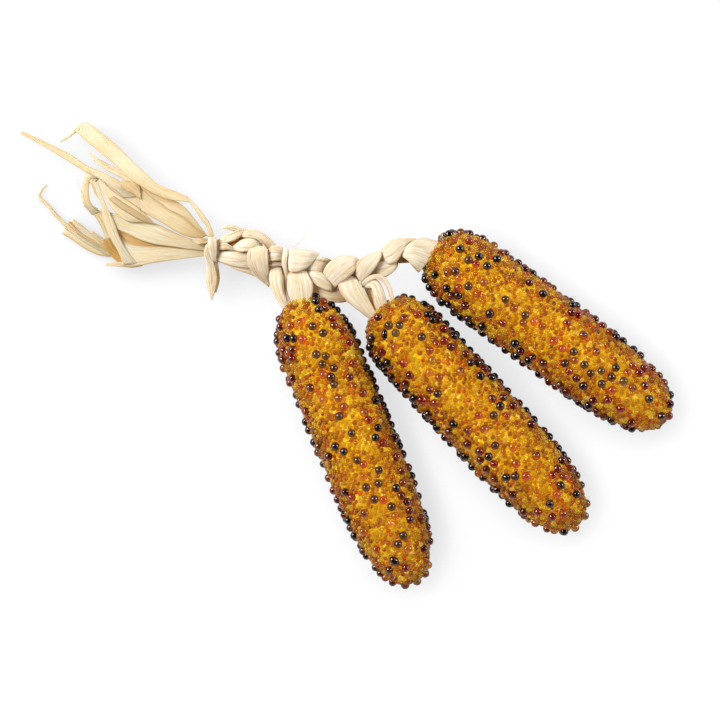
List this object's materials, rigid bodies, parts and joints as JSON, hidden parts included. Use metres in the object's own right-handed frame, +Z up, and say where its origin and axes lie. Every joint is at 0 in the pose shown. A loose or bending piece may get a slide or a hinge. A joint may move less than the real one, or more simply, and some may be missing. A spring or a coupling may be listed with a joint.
{
  "type": "beaded corn cob hanging ornament",
  "caption": "Hanging autumn ornament: mock corn cobs covered in glass beads, joined by a plait of dried corn husk with a tied, frayed tassel.",
  "frame": {"origin": "centre of the lying ornament's box, on the table", "axes": "+Z up from the table; +X from the husk tassel towards the cobs; +Y towards the side on which the plait lies"},
  "size_m": [0.327, 0.2312, 0.04],
  "materials": {
    "cob_beads": "glossy transparent amber, red and dark brown glass beads over a yellow foam core",
    "plait_husk": "dry, satin, striated lengthwise",
    "tassel_husk": "dry, thin and slightly translucent, striated lengthwise",
    "tie_husk": "dry, satin, striated lengthwise"
  },
  "bodies": {
    "root": {"cob_left": "cob_beads", "cob_middle": "cob_beads", "cob_right": "cob_beads", "plait_strand_1": "plait_husk", "plait_strand_2": "plait_husk", "plait_strand_3": "plait_husk", "husk_right_flare": "plait_husk", "husk_middle_broad": "plait_husk", "husk_middle_loop": "plait_husk", "husk_left_broad": "plait_husk", "husk_left_narrow": "plait_husk", "tie_strip": "tie_husk", "tassel_leaf_top": "tassel_husk", "tassel_leaf_tan": "tassel_husk", "tassel_leaf_long": "tassel_husk", "tassel_leaf_upper_broad": "tassel_husk", "tassel_leaf_centre": "tassel_husk", "tassel_leaf_pointed": "tassel_husk", "tassel_leaf_lower_broad": "tassel_husk", "tassel_leaf_curled": "tassel_husk", "tassel_leaf_split": "tassel_husk"}
  },
  "joints": []
}
